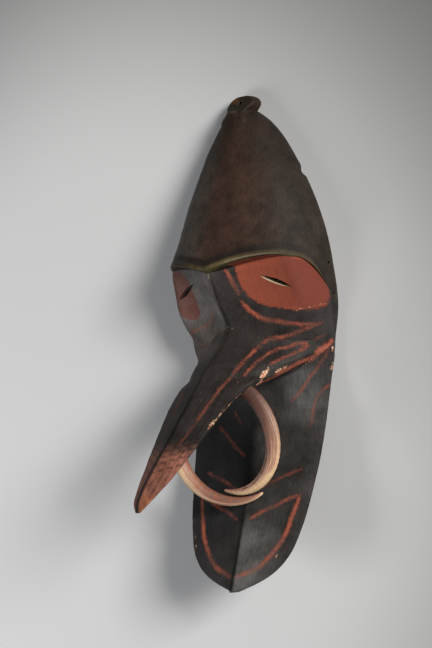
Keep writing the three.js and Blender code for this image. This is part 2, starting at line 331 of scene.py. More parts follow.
def bare_wood(name, pale, dark):
    """Wood as the tool left it: grain lines along the log and patches of dirt."""
    material, tree, shader = finish_named(name, BARE_ROUGHNESS)
    spot = add(tree, "ShaderNodeTexCoord", out="Object")
    lengthwise = add(tree, "ShaderNodeMapping", {"Vector": spot, "Scale": GRAIN_SCALE})
    grain = add(tree, "ShaderNodeTexNoise", {"Vector": lengthwise, "Scale": 1, "Detail": 4})
    dirt = add(tree, "ShaderNodeTexNoise", {"Vector": spot, "Scale": 1 / DIRT_PATCH / MM, "Detail": 5})
    dirty = add(tree, "ShaderNodeMapRange", {"Value": dirt, "From Min": 0.35, "From Max": 0.7, "To Max": 0.7})
    worn = add(tree, "ShaderNodeMix", {"Factor": dirty, MIX_A: linear(pale), MIX_B: linear(dark)}, **MIX)
    line = add(tree, "ShaderNodeMapRange", {"Value": grain, "From Min": 0.4, "From Max": 0.7, "To Max": 0.55})
    colour = add(tree, "ShaderNodeMix", {"Factor": line, MIX_A: worn, MIX_B: linear(dark)}, **MIX)
    bump = add(tree, "ShaderNodeBump", {"Height": grain, "Strength": 0.4, "Distance": 0.5 * MM})
    tree.links.new(colour, shader.inputs["Base Color"])
    tree.links.new(bump, shader.inputs["Normal"])
    return material


def wall_thickness(y):
    return lerp(FACE_WALL, FOREHEAD_WALL, rising(y, WALL_THICKENS))


adzed_wood = bare_wood("adzed_bare_wood", *ADZED)
hollow = block("hollow_cutter", adzed_wood, HOLLOW_GRID, HOLLOW_END_Y - CUT_MARGIN, CROWN_Y - 2 * RIM,
               wall=wall_thickness, brow_shift=FACE_WALL, inset=RIM, margin=CUT_MARGIN)

# The beak: level slices of the same log, each with a ridge, two edges and a rounded underside.
# It grows out of the cheeks and the nose, and stands furthest out of all.
BEAK_TIP_GATHER = 1.15
BELLY_FULLNESS = (2, 4.5)
BELLY_FILLS = (-75, -45)
BEAK_SIDES = 96
BEAK_STEPS = 100


def tube(name, material, sides, steps, rule):
    """A round bar drawn out ring by ring; the rule places it from (across, along from 0 to 1, out)."""
    bpy.ops.object.select_all(action="DESELECT")
    bpy.ops.mesh.primitive_circle_add(vertices=sides, radius=1, fill_type="TRIFAN")
    piece = bpy.context.object
    piece.name = name
    piece.data.materials.append(material)
    bpy.ops.object.mode_set(mode="EDIT")
    for _ in range(steps):
        bpy.ops.mesh.extrude_region_move(TRANSFORM_OT_translate={"value": (0, 0, 1)})
    bpy.ops.object.mode_set(mode="OBJECT")
    start = np.array([v.co for v in piece.data.vertices])
    place_points(piece, rule(start[:, 0], start[:, 2] / steps, start[:, 1]))
    face_outwards(piece)
    return piece


def beak_rule(across, along, out):
    y = lerp(BEAK[-1][0], BEAK[0][0], along ** BEAK_TIP_GATHER)
    x = across * beak_half(y)
    edges = beak_ridge(y) - beak_fall(y)
    full = lerp(*BELLY_FULLNESS, rising(y, BELLY_FILLS))
    belly = edges - beak_depth(y) * np.maximum(0, 1 - np.abs(across) ** full) ** (1 / full)
    upper = np.where(np.hypot(across, out) < 0.5, edges, beak_roof(x, y) + root_fillet(x, y))
    return np.stack([x, y, np.where(out < -TINY, belly, upper)], axis=1)


beak = tube("beak_block", painted_wood, BEAK_SIDES, BEAK_STEPS, beak_rule)

# The lug: a rounded knob left standing at the crown on a narrower neck, thick at its foot and thin at its
# top, and pierced for a hanging cord. Each station is its Y, its half width and its thickness.
LUG = [
    (196, 18, 30), (204, 15.5, 30), (209, 12.2, 28), (212, 11.6, 25.5), (214.5, 13.5, 22.5), (217, 16, 19.5),
    (220, 17, 16.5), (223.5, 15.5, 14), (226.5, 11.5, 12.5), (228.5, 6, 10), (229.2, 1.5, 6),
]
LUG_SQUARENESS = 6
LUG_SIDES = 40
LUG_STEPS = 30
LUG_HOLE_Y = 221
LUG_HOLE_R = 2.8
LUG_HOLE_SIDES = 24
lug_half = through(LUG)
lug_thickness = through(LUG, 2)


def lug_rule(across, along, out):
    y = lerp(LUG[0][0], LUG[-1][0], 1 - (1 - along) ** 2)
    x = np.sign(across) * np.abs(across) ** (2 / LUG_SQUARENESS) * lug_half(y)
    z = (1 + np.sign(out) * np.abs(out) ** (2 / LUG_SQUARENESS)) * lug_thickness(y) / 2
    return np.stack([x, y, z], axis=1)


lug = tube("lug_block", painted_wood, LUG_SIDES, LUG_STEPS, lug_rule)


def hole_rule(across, along, out):
    z = lerp(-CUT_MARGIN, CROWN_DEPTH, along)
    return np.stack([across * LUG_HOLE_R, LUG_HOLE_Y + out * LUG_HOLE_R, z], axis=1)


lug_hole = tube("lug_hole_cutter", painted_wood, LUG_HOLE_SIDES, 1, hole_rule)

# Eye slits: a narrow lens is cut right through each eye plane, sloping down to the outside. The right one is
# rubbed clean to pale wood; the left one's walls take the dark painted wood, as painted shade in the slit.
SLIT_AT = (59, 38)
SLIT_LENGTH = 34
SLIT_HEIGHT = 5.2
SLIT_SLOPE = math.radians(-24)
SLIT_SIDES = 32
KNIFE_CUT = ("#c9bda4", "#8c7a60")


def slit_rule(sign):
    def rule(across, along, out):
        u = across * SLIT_LENGTH / 2
        v = np.sign(out) * (1 - across ** 2) * SLIT_HEIGHT / 2
        turn = sign * SLIT_SLOPE
        x = sign * SLIT_AT[0] + u * math.cos(turn) - v * math.sin(turn)
        y = SLIT_AT[1] + u * math.sin(turn) + v * math.cos(turn)
        return np.stack([x, y, lerp(-CUT_MARGIN, BROW_DEPTH, along)], axis=1)
    return rule


cut_wood = bare_wood("knife_cut_bare_wood", *KNIFE_CUT)
# Painted shade: the left slit's walls take the dark painted wood.
SLIT_WOOD = {-1: painted_wood, 1: cut_wood}
slits = []
for sign, wood in SLIT_WOOD.items():
    slits.append(tube(f"slit_cutter_{sign}", wood, SLIT_SIDES, 1, slit_rule(sign)))

# Lashing holes: two small holes are bored through the rim on each side, beside the brow and the eye.
LASHING_HOLES = [(91, 53, 7), (92.5, 23, 5)]
LASHING_R = 1.5
LASHING_LEAN = 0.3
LASHING_SIDES = 16


def lashing_rule(sign, at):
    def rule(across, along, out):
        run = lerp(-RIM, RIM / 2, along)
        x = sign * (at[0] + run)
        y = at[1] + across * LASHING_R
        z = at[2] + run * LASHING_LEAN + out * LASHING_R
        return np.stack([x, y, z], axis=1)
    return rule


lashings = [tube(f"lashing_cutter_{sign}_{at[1]}", painted_wood, LASHING_SIDES, 1, lashing_rule(sign, at))
            for sign in (-1, 1) for at in LASHING_HOLES]

# Tusk sockets: each tusk's root is let into a hole in the beak's edge, a hair wider than the root.
# A tusk is an arc through three points; it tapers towards its tip.
TUSKS = {
    "tusk_right": ((27, -60, 81), (54, -91, 74), (-14, -160, 66.5)),
    "tusk_left": ((-24, -62, 81), (-50, -131, 86), (29, -164, 58)),
}
TUSK_ROOT_R = 8.6
TUSK_TIP_R = 1.3
TUSK_TAPER = 3.2
TUSK_FLATNESS = 0.8
SOCKET_GAP = 0.35
SOCKET_SHARE = 0.25
SOCKET_SIDES = 32
SOCKET_STEPS = 24


def arc_through(points):
    """Centre, radius, the two axes in the arc's plane, its normal and the angle that it sweeps."""
    a, b, c = (Vector(p) for p in points)
    to_b = b - a
    to_c = c - a
    normal = to_b.cross(to_c)
    centre = normal.cross(to_b) * to_c.length_squared + to_c.cross(normal) * to_b.length_squared
    centre = a + centre / (2 * normal.length_squared)
    radius = (a - centre).length
    start = (a - centre).normalized()
    normal.normalize()
    ahead = normal.cross(start)
    sweep = math.atan2((c - centre).dot(ahead), (c - centre).dot(start)) % (2 * math.pi)
    return np.array(centre), radius, np.array(start), np.array(ahead), np.array(normal), sweep


def tusk_rule(points, gap=0.0, reach=1.0):
    centre, radius, start, ahead, normal, sweep = arc_through(points)

    def rule(across, along, out):
        along = along * reach
        angle = sweep * along - np.where(along == 0, gap / radius, 0)
        thick = lerp(TUSK_ROOT_R, TUSK_TIP_R, along ** TUSK_TAPER) + gap
        away = np.cos(angle)[:, None] * start + np.sin(angle)[:, None] * ahead
        arm = (radius + across * thick)[:, None] * away
        return centre + arm + (out * thick * TUSK_FLATNESS)[:, None] * normal

    return rule


sockets = []
for name, points in TUSKS.items():
    socket_rule = tusk_rule(points, SOCKET_GAP, SOCKET_SHARE)
    sockets.append(tube(f"{name}_socket", painted_wood, SOCKET_SIDES, SOCKET_STEPS, socket_rule))

# Joining and cutting, in the order of the work: the beak goes on, the back is hollowed, the lug goes on, and
# then its hole, the slits, the lashing holes and the sockets are pierced.


def boolean(body, tool, operation):
    select_only(body)
    cut = body.modifiers.new(operation.lower(), "BOOLEAN")
    cut.object = tool
    cut.operation = operation
    cut.solver = "MANIFOLD"
    cut.material_mode = "TRANSFER"
    bpy.ops.object.modifier_apply(modifier=cut.name)
    bpy.data.objects.remove(tool)


boolean(mask_body, beak, "UNION")
boolean(mask_body, hollow, "DIFFERENCE")
boolean(mask_body, lug, "UNION")
for cutter in (lug_hole, *slits, *lashings, *sockets):
    boolean(mask_body, cutter, "DIFFERENCE")

# Tool marks: the adze leaves long shallow facets and the scraper a fine waviness.
# They are mesh relief, drawn as soft noise; the rim that the mask lies on stays flat.
ADZE_MARK = 26
ADZE_DEPTH = 0.9
SCRAPER_MARK = 7
SCRAPER_DEPTH = 0.3
SHARP_FROM = math.radians(38)


def roughen(piece, mark, depth):
    """Raises and lowers the surface by noise whose bumps are a mark wide."""
    clouds = bpy.data.textures.new(f"marks_{mark}", "CLOUDS")
    clouds.noise_scale = mark * MM
    clouds.noise_depth = 1
    select_only(piece)
    marks = piece.modifiers.new("marks", "DISPLACE")
    marks.texture = clouds
    marks.texture_coords = "LOCAL"
    marks.strength = depth * MM
    marks.mid_level = 0.5
    bpy.ops.object.modifier_apply(modifier=marks.name)


roughen(mask_body, ADZE_MARK, ADZE_DEPTH)
roughen(mask_body, SCRAPER_MARK, SCRAPER_DEPTH)
carved_points = points_of(mask_body)
carved_points[:, 2] = np.maximum(carved_points[:, 2], 0)
place_points(mask_body, carved_points)
select_only(mask_body)
bpy.ops.object.shade_smooth_by_angle(angle=SHARP_FROM)

# Paint: red ochre is brushed on the blackened wood. It fills an almond around each eye, and strokes run from
# the cheeks along the beak and around the chin. STROKES are brushed on both sides and are worn faint on the
# left cheek; LEFT_STROKES lie inside the tusks' bows on the left alone.
# A stroke is half its width, its cover from 0 to 1 and a few points: X, Y and, on steep sides, the height Z.
STROKES = [
    (2.7, 0.8, [(14, 54), (16, 45), (18, 35), (19.5, 29)]),
    (2.6, 0.9, [(19, 22), (25, 12), (36, 4), (56, -1), (72, -5), (84, -6)]),
    (2.3, 0.9, [(86, -5), (76, -9), (64, -13), (53, -16), (40, -17), (34, -23), (29, -36), (27, -49)]),
    (2.0, 0.6, [(27, -49), (23, -64), (20, -80), (18, -92)]),
    (1.6, 0.35, [(18, -92), (15, -104), (12, -112)]),
    (1.8, 0.85, [(73, -24), (65, -23), (57, -26), (48, -28), (43, -32), (39, -40), (37, -46), (36, -52)]),
    (1.6, 0.85, [(73, -26), (65, -31), (59, -35), (53, -39), (49, -42)]),
    (4.0, 1.0, [(90, -22, 9), (86, -27, 12), (79, -32, 16), (70, -38, 20), (64, -42, 30), (58, -46, 38),
                (53, -50, 47), (47, -54, 54), (44, -58, 64), (41.3, -62, 72)]),
    (1.2, 0.5, [(86, -16), (76, -22)]),
    (1.9, 0.65, [(86, -31), (79, -40), (72, -49), (65, -56), (58, -65), (54, -69), (43, -78)]),
    (2.2, 0.6, [(87, -64), (79, -69), (73, -74), (69, -84), (67, -103)]),
    (1.8, 0.5, [(62, -144), (49, -148), (29, -155), (10, -163)]),
    (2.3, 0.7, [(64, -168), (53, -171), (39, -177), (22, -183), (8, -190)]),
    (3.0, 1.0, [(64, -169), (58, -189), (53, -205), (46, -216), (38, -226), (27, -235), (3, -244)]),
]
LEFT_STROKES = [
    (1.4, 0.4, [(-31, -85, 24), (-20, -97, 27)]),
    (2.2, 0.45, [(-52, -99, 24), (-37, -110, 29), (-24, -120, 33), (-9, -130, 37)]),
]
EYE_PATCH = [
    (24, 75), (22, 50), (23, 35), (27, 26), (34, 19), (45, 14.5), (60, 11), (76, 8), (86, 8), (91, 11),
    (93, 17), (93, 75),
]
LEFT_PATCH = [(85, 62), (62, 59), (53, 51), (48, 39), (45, 26), (44, 16), (51, 9), (63, 10), (85, 16)]
PATCH_COVER = 1.1
PATCH_GAP = 0.5
OCHRE_DARKENS = (0.74, 0.86)
LEFT_PATCH_COVER = 0.75
LEFT_WORN = 0.4
LEFT_WORN_ABOVE = -60
STROKE_STEP = 0.8
STROKE_ENDS = 3
STROKE_END_WIDTH = 0.5
FOREHEAD_WITHIN = 6
EYE_WITHIN = 5
LIP_OVERHANG = 2
FAR = 50.0


def brushed(strokes, signs=(1, -1)):
    """Points along the strokes on the surface, each with its half width and cover; the left cheek is worn."""
    marks = []
    for half, cover, points in strokes:
        points = np.array(points, float)
        run = np.concatenate([[0], np.cumsum(np.hypot(*np.diff(points[:, :2], axis=0).T))])
        stations = [(at, *point) for at, point in zip(run, points)]
        place = np.arange(0, run[-1] + STROKE_STEP, STROKE_STEP)
        x, y = (through(stations, column)(place) for column in (1, 2))
        if points.shape[1] == 3:
            z = through(stations, 3)(place)
        else:
            on_roof = (y < BEAK[0][0]) & (np.abs(x) < beak_half(y))
            z = np.maximum(face(x / half_width(y), y), np.where(on_roof, beak_roof(x, y), 0))
            z = z + root_fillet(x, y)
        ends = np.clip(np.minimum(place, run[-1] - place) / (STROKE_ENDS * half), 0, 1)
        width = half * lerp(STROKE_END_WIDTH, 1, np.sqrt(ends))
        for sign in signs:
            worn = (y > LEFT_WORN_ABOVE) & (sign < 0)
            marks.append(np.column_stack([sign * x, y, z, width, cover * np.where(worn, LEFT_WORN, 1)]))
    return np.concatenate(marks)


def paint(points, marks):
    """How far inside the nearest stroke each corner lies, in millimetres, and that stroke's cover."""
    tree = kdtree.KDTree(len(marks))
    for i, mark in enumerate(marks):
        tree.insert(mark[:3], i)
    tree.balance()
    inside = np.empty(len(points))
    cover = np.empty(len(points))
    for i, point in enumerate(points):
        _, nearest, distance = tree.find(point)
        inside[i] = marks[nearest, 3] - distance
        cover[i] = marks[nearest, 4]
    return np.maximum(inside, -FAR), cover


def inside_outline(x, y, outline):
    """How far inside a closed outline each point lies, in millimetres; negative outside."""
    nearest = np.full(len(x), FAR)
    crossings = np.zeros(len(x), int)
    for (ax, ay), (bx, by) in zip(outline, outline[1:] + outline[:1]):
        t = np.clip(((x - ax) * (bx - ax) + (y - ay) * (by - ay)) / ((bx - ax) ** 2 + (by - ay) ** 2), 0, 1)
        nearest = np.minimum(nearest, np.hypot(x - lerp(ax, bx, t), y - lerp(ay, by, t)))
        spans = (ay > y) != (by > y)
        crossings += spans & (x < ax + (y - ay) * (bx - ax) / (by - ay if by != ay else 1))
    return np.where(crossings % 2 == 1, nearest, -nearest)


def keep(piece, name, values):
    """Keeps a number, or a place, for every corner of the piece."""
    values = np.asarray(values, np.float32)
    kind, field = ("FLOAT", "value") if values.ndim == 1 else ("FLOAT_VECTOR", "vector")
    layer = piece.data.attributes.new(name, kind, "POINT")
    layer.data.foreach_set(field, values.ravel())


body_points = points_of(mask_body)
body_x, body_y, body_z = body_points.T
body_side = np.clip(body_x / half_width(body_y), -1, 1)
around = np.abs(body_side)
over_brow = body_y - brow_height(np.arcsin(body_side) * 2 / math.pi)
plain_front = np.where(over_brow > -BROW_BEVEL, forehead(body_side, body_y), face(body_side, body_y))
on_forehead = (over_brow > -BROW_BEVEL) & (body_z > plain_front - FOREHEAD_WITHIN)
on_eye = (over_brow < -BROW_BEVEL) & (np.abs(body_z - plain_front) < EYE_WITHIN)
under_lip = (over_brow > -BROW_BEVEL - 1) & (body_z < forehead(body_side, body_y) - LIP_OVERHANG)
on_right = body_x > 0
all_strokes = np.concatenate([brushed(STROKES), brushed(LEFT_STROKES, signs=(1,))])
in_stroke, stroke_cover = paint(body_points, all_strokes)
in_right_patch = inside_outline(body_x, body_y, EYE_PATCH)
in_left_patch = inside_outline(-body_x, body_y, LEFT_PATCH)
in_patch = np.minimum(np.where(on_right, in_right_patch, in_left_patch), -over_brow - PATCH_GAP)
in_patch = np.where(on_eye | (under_lip & on_right), in_patch, -FAR)
patch_cover = np.where(on_right, PATCH_COVER, LEFT_PATCH_COVER)
keep(mask_body, "stroke", in_stroke)
keep(mask_body, "red", np.maximum(in_stroke, in_patch))
keep(mask_body, "red_cover", np.where(in_patch > in_stroke, patch_cover, stroke_cover))
# Painted shade: the outer eye planes are marked for a darker ochre, to even out the key light.
keep(mask_body, "ochre_painted_shade", on_eye * rising(around, OCHRE_DARKENS))

# Crust, chips and wear: pale gum and lime stand in the corners by the tusk roots and along the beak's edges,
# a chip is knocked out of the rim beside the forehead, and the sharp edges are found, where the ground is
# lightened, partly as wear from hands and partly as a painted highlight. The crust is raised in grains. A
# line of crust is half its width and its points, like a stroke's.
CRUST = [
    (2.9, [(41, -62, 73), (44.5, -58.5, 71), (47, -54, 68), (48, -49.5, 64), (49, -45, 60)]),
    (2.1, [(52, -49, 54), (55, -46.5, 48), (59, -44, 43)]),
    (1.1, [(59.5, -38, 43.5), (60.5, -36, 41.5)]),
    (1.1, [(34, -59, 92), (35.5, -53.5, 85)]),
    (1.4, [(40, -65.5, 90), (36, -71.5, 97), (34, -80, 108), (33.5, -88.5, 121), (31.5, -98, 132.5)]),
    (0.8, [(74, 8.5), (77, 9), (88, 12), (92, 14)]),
    (1.1, [(22.3, 56.2, 68), (21.5, 54.6, 66.6)]),
    (1.8, [(89, -29), (88, -33)]),
    (1.3, [(87, -44), (86, -51)]),
    (1.1, [(45, -226.5, 66.5), (48, -223, 65)]),
    (1.1, [(-72.5, -189, 51), (-72.5, -192, 51.5)]),
    (1.0, [(-66.5, -204, 56.5), (-65, -208, 58)]),
    (1.0, [(-62.5, -214.5, 60.5), (-62, -217, 61)]),
]
CRUST_GRAIN = 0.45
CRUST_RISES = (-1, 0.5)
CRUST_SEED = 7
CHIPS = [((64, 145, 2), 6, 5), ((62, 149, 2), 4.5, 2)]
random = np.random.default_rng(CRUST_SEED)
crust, _ = paint(body_points, brushed([(half, 1, points) for half, points in CRUST], signs=(1,)))
keep(mask_body, "crust", crust)
grains = CRUST_GRAIN * rising(crust, CRUST_RISES) * random.random(len(crust))
knocked_in = np.zeros(len(body_points))
for at, reach, depth in CHIPS:
    away = np.linalg.norm(body_points - at, axis=1)
    knocked_in = knocked_in + depth * fading(away, (0, reach))

# An edge is sharp where the corners around it lie below its own tangent plane.
outward = np.array([v.normal for v in mask_body.data.vertices])
pairs = np.empty(len(mask_body.data.edges) * 2, np.int32)
mask_body.data.edges.foreach_get("vertices", pairs)
pairs = pairs.reshape(-1, 2)
corner, neighbour = np.concatenate([pairs, pairs[:, ::-1]]).T
span = body_points[neighbour] - body_points[corner]
drop = -(span * outward[corner]).sum(axis=1) / np.maximum(np.linalg.norm(span, axis=1), TINY)
neighbours = np.maximum(np.bincount(corner, minlength=len(body_points)), 1)
keep(mask_body, "edge", np.bincount(corner, drop, len(body_points)) / neighbours)

body_points = body_points + grains[:, None] * outward
body_points[:, 0] -= knocked_in
body_points[:, 2] = np.maximum(body_points[:, 2], 0)
place_points(mask_body, body_points)

# Ground colours: soot and oil are nearly black on the face; the forehead is a rubbed dark brown with a worn
# lip along the brow, the nose's left plane is grey, partly dust and partly painted light, and the beak's end
# is worn to reddish bare wood. Painted shade and light lie in the ground too: the forehead is painted darker
# at its crown, on its right side and in a band above the lip, and paler on its left side, and the lower face
# and chin are painted darker left of the keel than right of it.
# A wash is a colour and its strength. It comes in over a span of the half width or of millimetres.
GROUND = "#221e1c"
FOREHEAD_SIDE = ("#2d241d", 1)
FOREHEAD_BROWN = ("#2f2019", 1)
FOREHEAD_RIGHT_PAINTED_SHADE = ("#201a15", 1)
FOREHEAD_LEFT_PAINTED_LIGHT = ("#3c3630", 1)
FOREHEAD_CROWN_PAINTED_SHADE = ("#1d140d", 0.7)
BROW_SHADE = ("#1a1512", 0.8)
LIP = ("#302818", 1)
LIP_OLIVE = ("#463e26", 0.9)
LIP_EDGE_PALE_AND_HIGHLIT = ("#857c68", 0.3)
NOSE_FOOT = ("#4a443f", 1)
DUSTY_AND_LIT_NOSE_PLANE = ("#67625f", 1)
LOWER_FACE_SHADED_LEFT = ("#121112", 1)
LOWER_FACE_LIT_RIGHT = ("#282523", 1)
LOWER_EDGE = ("#373331", 0.7)
DUSTY_CHEEK = ("#484745", 0.85)
CHIN_LIT_RIGHT = ("#444240", 0.9)
CHIN_SHADED_LEFT = ("#201e1d", 1)
BEAK_RED = ("#6c4437", 1)
BEAK_TIP = ("#663d29", 1)
BEAK_RING = ("#0d0b0a", 0.6)
RIDGE_LINE = ("#0d0b0a", 1)
LUG_OLIVE = ("#1a160c", 1)
LUG_END = ("#231712", 1)
LUG_STAIN = ("#4a2c16", 1)
BROWN_TURN = (0.3, 1)
RIGHT_TURN = (0.45, 1)
LEFT_TURN = (-0.05, 0.5)
TOP_Y = (120, 200)
SHADE_OVER_BROW = 7
SHADE_FADES = (2, 5)
LIP_ENDS = (1, 5)
OLIVE_X = 10
OLIVE_FADES = (14, 45)
LIP_EDGE_FADES = (0.4, 1.1)
LIP_EDGE_STARTS = (16, 24)
LIP_EDGE_ENDS = (55, 75)
NOSE_X = (-1.2, 0.8)
NOSE_FOOT_Y = (-42, -22)
DUSTY_PLANE_Y = (-8, 18)
LOWER_Y = (-75, -45)
ABOVE_FACE = (6, 12)
LOWER_RIGHT_X = (-3, 8)
LOWER_EDGE_X = (55, 80)
DUSTY_STARTS = (25, 55)
DUSTY_ENDS = (66, 80)
DUSTY_LEFT_OVER = 0.3
DUSTY_Y = -72
DUSTY_FADES = (12, 38)
KEEL_X = (-0.8, 0.8)
CHIN_Y_SPAN = (-215, -165)
CHIN_RIGHT_FADES = (15, 60)
BEAK_Y = (-45, -25)
BEAK_RED_Y = (-128, -106)
BEAK_TIP_Y = (-163, -146)
BEAK_RINGS = (-117, -122, -128, -135)
RING_LEAN = 0.25
RING_FADES = (0.3, 1.1)
RIDGE_FADES = (0.8, 3.6)
RIDGE_BELOW_Y = 45
RIDGE_ABOVE_Z = 50
LUG_Y = (CROWN_Y - 2, CROWN_Y + 4)
LUG_END_X = (11, 15)
STAIN_AT = (-7, 224)
STAIN_FADES = (1, 5)
ground = np.tile(linear(GROUND), (len(body_points), 1))


def wash(share, finish):
    """Lays a wash over the ground, from not at all where the share is 0 to its strength where it is 1."""
    colour, strength = finish
    ground[:] = lerp(ground, np.array(linear(colour)), np.clip(share * strength, 0, 1)[:, None])


wash(on_forehead, FOREHEAD_SIDE)
wash(on_forehead * fading(around, BROWN_TURN), FOREHEAD_BROWN)
# Painted shade and light: the forehead's right side is painted darker and its left side paler, to even out
# the key light from the right.
wash(on_forehead * rising(body_side, RIGHT_TURN), FOREHEAD_RIGHT_PAINTED_SHADE)
wash(on_forehead * rising(-body_side, LEFT_TURN), FOREHEAD_LEFT_PAINTED_LIGHT)
# Painted shade: the crown of the forehead is painted darker, where the light falls off.
wash(on_forehead * rising(body_y, TOP_Y), FOREHEAD_CROWN_PAINTED_SHADE)
wash(on_forehead * fading(np.abs(over_brow - SHADE_OVER_BROW), SHADE_FADES), BROW_SHADE)
on_lip = on_forehead * fading(over_brow, LIP_ENDS)
wash(on_lip, LIP)
wash(on_lip * fading(np.abs(body_x - OLIVE_X), OLIVE_FADES), LIP_OLIVE)
# A pale line along the brow's edge: partly the edge's own pale wood and partly a painted highlight.
on_lip_edge = on_forehead * fading(np.abs(over_brow), LIP_EDGE_FADES)
wash(on_lip_edge * rising(body_x, LIP_EDGE_STARTS) * fading(body_x, LIP_EDGE_ENDS), LIP_EDGE_PALE_AND_HIGHLIT)

under_brow = fading(over_brow, (-BROW_BEVEL - 1, -BROW_BEVEL))
left_of_nose = under_brow * fading(body_x, NOSE_X)
# Painted light and dust: the nose's left plane is painted grey, paler higher up, partly as dust and partly as
# painted light standing in for light from the left.
wash(left_of_nose * rising(body_y, NOSE_FOOT_Y), NOSE_FOOT)
wash(left_of_nose * rising(body_y, DUSTY_PLANE_Y), DUSTY_AND_LIT_NOSE_PLANE)

off_beak = fading(body_z - face(body_side, body_y), ABOVE_FACE)
lower = off_beak * fading(body_y, LOWER_Y)
# Painted shade and light: the black lower face is painted darker left of the keel, as shade from the beak,
# and paler right of it, as a lit copy of the same paint.
wash(lower, LOWER_FACE_SHADED_LEFT)
wash(lower * rising(body_x, LOWER_RIGHT_X), LOWER_FACE_LIT_RIGHT)
wash(lower * rising(body_x, LOWER_EDGE_X), LOWER_EDGE)
dusty = rising(body_x, DUSTY_STARTS) * lerp(1, DUSTY_LEFT_OVER, rising(body_x, DUSTY_ENDS))
wash(off_beak * dusty * fading(np.abs(body_y - DUSTY_Y), DUSTY_FADES), DUSTY_CHEEK)
# Painted shade and light: the chin is painted darker left of the keel and paler right of it, palest by the
# keel, as shaded and lit copies of the same paint.
on_chin = off_beak * fading(body_y, CHIN_Y_SPAN)
right_of_keel = rising(body_x, KEEL_X)
wash(on_chin * right_of_keel * fading(body_x, CHIN_RIGHT_FADES), CHIN_LIT_RIGHT)
wash(on_chin * (1 - right_of_keel), CHIN_SHADED_LEFT)

beak_share = (1 - off_beak) * fading(body_y, BEAK_Y)
keep(mask_body, "on_beak", beak_share)
wash(beak_share * fading(body_y, BEAK_RED_Y), BEAK_RED)
wash(beak_share * fading(body_y, BEAK_TIP_Y), BEAK_TIP)
for ring_y in BEAK_RINGS:
    from_ring = np.abs(body_y - ring_y - RING_LEAN * np.abs(body_x))
    wash(beak_share * fading(from_ring, RING_FADES), BEAK_RING)
on_ridge = (body_y < RIDGE_BELOW_Y) & (body_z > RIDGE_ABOVE_Z)
wash(on_ridge * fading(np.abs(body_x), RIDGE_FADES), RIDGE_LINE)

on_lug = rising(body_y, LUG_Y)
wash(on_lug, LUG_OLIVE)
wash(on_lug * rising(body_x, LUG_END_X), LUG_END)
wash(on_lug * fading(np.hypot(body_x - STAIN_AT[0], body_y - STAIN_AT[1]), STAIN_FADES), LUG_STAIN)
tints = mask_body.data.color_attributes.new("ground", "FLOAT_COLOR", "POINT")
tints.data.foreach_set("color", ground.astype(np.float32).ravel())

# Painted wood: scraped smooth, rubbed with soot and oil, then brushed with a dry earth paint and worn by
# hands. It gives a half-matt dark ground with grain along the log, and a chalky red that breaks up over it.
MOTTLE = 20
SPECK = 1.6
BRUSH_EDGE = 3.0
STREAK = (2.2, 30)
STREAK_SCALE = (1 / STREAK[0] / MM, 1 / STREAK[1] / MM, 1 / STREAK[0] / MM)
BEAK_LEAN = math.radians(47)
OCHRE_THICK = "#803f2c"
OCHRE_THIN = "#683123"
OCHRE_SHADED = "#5c2b20"
OCHRE_FRESH = "#985540"
OCHRE_WORN = "#5b3b2b"
GUM = ("#8f5034", "#cdbd9f")
DUST = "#57504a"
RUBBED_AND_HIGHLIT = "#6a5f55"
PAINTED_SPECULAR = 0.15

painted_wood.use_nodes = True
tree = painted_wood.node_tree
shader = tree.nodes["Principled BSDF"]
shader.inputs["IOR"].default_value = FINISH_IOR
shader.inputs["Specular IOR Level"].default_value = PAINTED_SPECULAR
spot = add(tree, "ShaderNodeTexCoord", out="Object")
lengthwise = add(tree, "ShaderNodeMapping", {"Vector": spot, "Scale": GRAIN_SCALE})
beakwise = add(tree, "ShaderNodeMapping", {"Vector": spot, "Rotation": (BEAK_LEAN, 0, 0)})
beakwise = add(tree, "ShaderNodeMapping", {"Vector": beakwise, "Scale": STREAK_SCALE})
grain = add(tree, "ShaderNodeTexNoise", {"Vector": lengthwise, "Scale": 1, "Detail": 4})
streak = add(tree, "ShaderNodeTexNoise", {"Vector": beakwise, "Scale": 1, "Detail": 3})
mottle = add(tree, "ShaderNodeTexNoise", {
    "Vector": spot, "Scale": 1 / MOTTLE / MM, "Detail": 5, "Roughness": 0.6})
speck = add(tree, "ShaderNodeTexNoise", {"Vector": spot, "Scale": 1 / SPECK / MM, "Detail": 3})
brush = add(tree, "ShaderNodeTexNoise", {"Vector": spot, "Scale": 1 / BRUSH_EDGE / MM, "Detail": 2})

# The ground under the paint: mottled, lined by the grain, dusty in specks, and paler on sharp edges, partly
# as rubbed wear and partly as a painted highlight.
base = add(tree, "ShaderNodeAttribute", attribute_name="ground", out="Color")
patchy = add(tree, "ShaderNodeMapRange", {
    "Value": mottle, "From Min": 0.3, "From Max": 0.7, "To Min": 0.55, "To Max": 1.45})
lined = add(tree, "ShaderNodeMapRange", {
    "Value": grain, "From Min": 0.3, "From Max": 0.7, "To Min": 0.78, "To Max": 1.22})
streaky = add(tree, "ShaderNodeMapRange", {
    "Value": streak, "From Min": 0.3, "From Max": 0.7, "To Min": 0.65, "To Max": 1.35})
on_beak = add(tree, "ShaderNodeAttribute", attribute_name="on_beak", out="Fac")
for share, shade in ((1, patchy), (1, lined), (on_beak, streaky)):
    base = add(tree, "ShaderNodeMix", {
        "Factor": share, MIX_A: base, MIX_B: shade}, **MIX, blend_type="MULTIPLY")
scuff = add(tree, "ShaderNodeMapRange", {"Value": speck, "From Min": 0.58, "From Max": 0.78, "To Max": 0.12})
base = add(tree, "ShaderNodeMix", {"Factor": scuff, MIX_A: base, MIX_B: linear(DUST)}, **MIX)
edge = add(tree, "ShaderNodeAttribute", attribute_name="edge", out="Fac")
rubbed_and_highlit = add(tree, "ShaderNodeMapRange", {"Value": edge, "From Min": 0.12, "From Max": 0.4})
